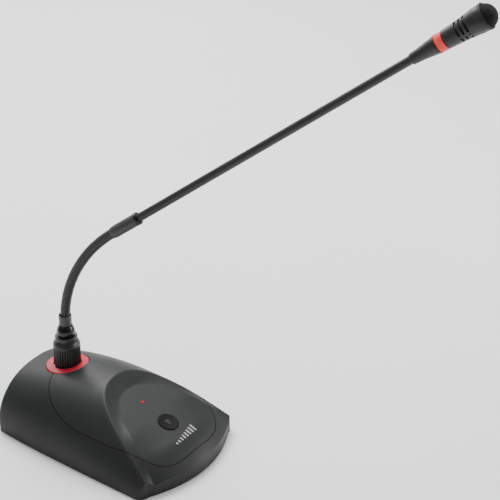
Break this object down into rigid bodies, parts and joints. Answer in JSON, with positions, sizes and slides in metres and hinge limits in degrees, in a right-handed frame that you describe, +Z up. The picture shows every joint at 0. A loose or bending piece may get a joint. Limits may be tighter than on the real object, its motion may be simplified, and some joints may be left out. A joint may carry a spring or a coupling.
{
  "type": "gooseneck podium microphone",
  "caption": "Desk microphone on a weighted wedge base with a talk button and a lit ring; a flexible neck and rigid rod plug in and carry a small lit microphone head.",
  "frame": {"origin": "middle of the underside of the base, on the surface it stands on", "axes": "+Z up, -Y towards the person speaking, +X to that person's right as they face the microphone"},
  "size_m": [0.1759, 0.3517, 0.3962],
  "materials": {
    "shell_plastic": "fine matt texture",
    "cover_plastic": "fine matt texture",
    "rubber": "matt",
    "sheet_steel": "zinc plated",
    "ballast": "rolled steel plate",
    "screw_steel": "zinc plated",
    "nickel": "satin nickel plate",
    "contact_brass": "gold flashed",
    "insulator": "moulded",
    "board": "solder mask",
    "ring_red": "translucent red",
    "band_red": "translucent salmon red",
    "led_red": "translucent red",
    "button_plastic": "smooth",
    "metal_black": "satin black",
    "flex_black": "satin black, wound",
    "boot_black": "glossy",
    "lead_red": "wire insulation",
    "lead_black": "wire insulation",
    "foam": "open-cell foam",
    "mesh_black": "woven wire, black"
  },
  "bodies": {
    "base": {"base_shell": "shell_plastic", "top_cover": "cover_plastic", "bottom_plate": "sheet_steel", "rubber_pad": "rubber", "base_screws": "screw_steel", "ballast_plate": "ballast", "ballast_screws": "screw_steel", "socket_bracket": "sheet_steel", "bracket_screws": "screw_steel", "socket_shell": "nickel", "socket_insert": "insulator", "socket_contacts": "contact_brass", "socket_screws": "screw_steel", "ring_board": "board", "light_ring": "ring_red", "circuit_board": "board", "board_screws": "screw_steel", "switch_body": "insulator", "status_led": "led_red", "output_shell": "nickel", "output_insert": "insulator", "output_pins": "contact_brass", "output_screws": "screw_steel", "socket_leads": "lead_red", "output_leads": "lead_black"},
    "button": {"talk_button": "button_plastic", "switch_plunger": "insulator"},
    "plug": {"plug_shell": "nickel", "plug_insert": "insulator", "plug_pins": "contact_brass", "plug_lead": "lead_black", "knurled_sleeve": "metal_black", "clamp_nut": "metal_black", "cable_boot": "boot_black", "lower_ferrule": "metal_black"},
    "neck_foot": {"flex_root": "flex_black"},
    "neck_1": {"flex_link_1": "flex_black"},
    "neck_2": {"flex_link_2": "flex_black"},
    "neck_3": {"flex_link_3": "flex_black"},
    "neck_4": {"flex_link_4": "flex_black"},
    "neck_5": {"flex_link_5": "flex_black"},
    "neck_6": {"flex_link_6": "flex_black"},
    "neck_7": {"flex_link_7": "flex_black"},
    "mic": {"flex_tip": "flex_black", "upper_ferrule": "metal_black", "ferrule_ring": "metal_black", "rod_tube": "metal_black", "mic_cable": "lead_black", "head_cone": "metal_black", "head_light_ring": "band_red", "head_board": "board", "head_body": "metal_black", "slot_screen": "mesh_black", "capsule_holder": "rubber", "mic_capsule": "nickel", "foam_disc": "foam", "grille_rim": "metal_black", "grille_dome": "mesh_black"}
  },
  "joints": [
    {"name": "talk_press", "type": "slide", "parent": "base", "child": "button", "axis": [0, 0.3584, -0.9336], "range_m": [0, 0.0012], "stiffness_N_per_m": 800, "springref_m": -0.0008},
    {"name": "plug_pull", "type": "slide", "parent": "base", "child": "plug", "axis": [0, 0, 1], "range_m": [0, 0.02]},
    {"name": "neck_turn", "type": "hinge", "parent": "plug", "child": "neck_foot", "pos_m": [0, 0.049, 0.091], "axis": [0, 0, 1], "range_deg": [-180, 180]},
    {"name": "neck_bend", "type": "hinge", "parent": "neck_foot", "child": "neck_1", "pos_m": [0.00025, 0.04828, 0.10383], "axis": [0.9455, 0.3256, 0], "range_deg": [-6.6, 4.5]},
    {"name": "neck_bend_2", "type": "hinge", "parent": "neck_1", "child": "neck_2", "pos_m": [0.0009, 0.04639, 0.11538], "axis": [0.9455, 0.3256, 0], "range_deg": [-6.65, 4.55]},
    {"name": "neck_bend_3", "type": "hinge", "parent": "neck_2", "child": "neck_3", "pos_m": [0.00195, 0.04333, 0.12665], "axis": [0.9455, 0.3256, 0], "range_deg": [-6.65, 4.55]},
    {"name": "neck_bend_4", "type": "hinge", "parent": "neck_3", "child": "neck_4", "pos_m": [0.00339, 0.03915, 0.13751], "axis": [0.9455, 0.3256, 0], "range_deg": [-6.65, 4.55]},
    {"name": "neck_bend_5", "type": "hinge", "parent": "neck_4", "child": "neck_5", "pos_m": [0.0052, 0.03389, 0.14783], "axis": [0.9455, 0.3256, 0], "range_deg": [-6.65, 4.55]},
    {"name": "neck_bend_6", "type": "hinge", "parent": "neck_5", "child": "neck_6", "pos_m": [0.00737, 0.02761, 0.15749], "axis": [0.9455, 0.3256, 0], "range_deg": [-6.65, 4.55]},
    {"name": "neck_bend_7", "type": "hinge", "parent": "neck_6", "child": "neck_7", "pos_m": [0.00985, 0.02038, 0.16638], "axis": [0.9455, 0.3256, 0], "range_deg": [-6.65, 4.55]},
    {"name": "neck_bend_8", "type": "hinge", "parent": "neck_7", "child": "mic", "pos_m": [0.01264, 0.0123, 0.1744], "axis": [0.9455, 0.3256, 0], "range_deg": [-6.65, 4.55]}
  ],
  "couplings": [
    {"joint": "neck_bend_2", "follows": "neck_bend", "ratio": 1},
    {"joint": "neck_bend_3", "follows": "neck_bend", "ratio": 1},
    {"joint": "neck_bend_4", "follows": "neck_bend", "ratio": 1},
    {"joint": "neck_bend_5", "follows": "neck_bend", "ratio": 1},
    {"joint": "neck_bend_6", "follows": "neck_bend", "ratio": 1},
    {"joint": "neck_bend_7", "follows": "neck_bend", "ratio": 1},
    {"joint": "neck_bend_8", "follows": "neck_bend", "ratio": 1}
  ]
}
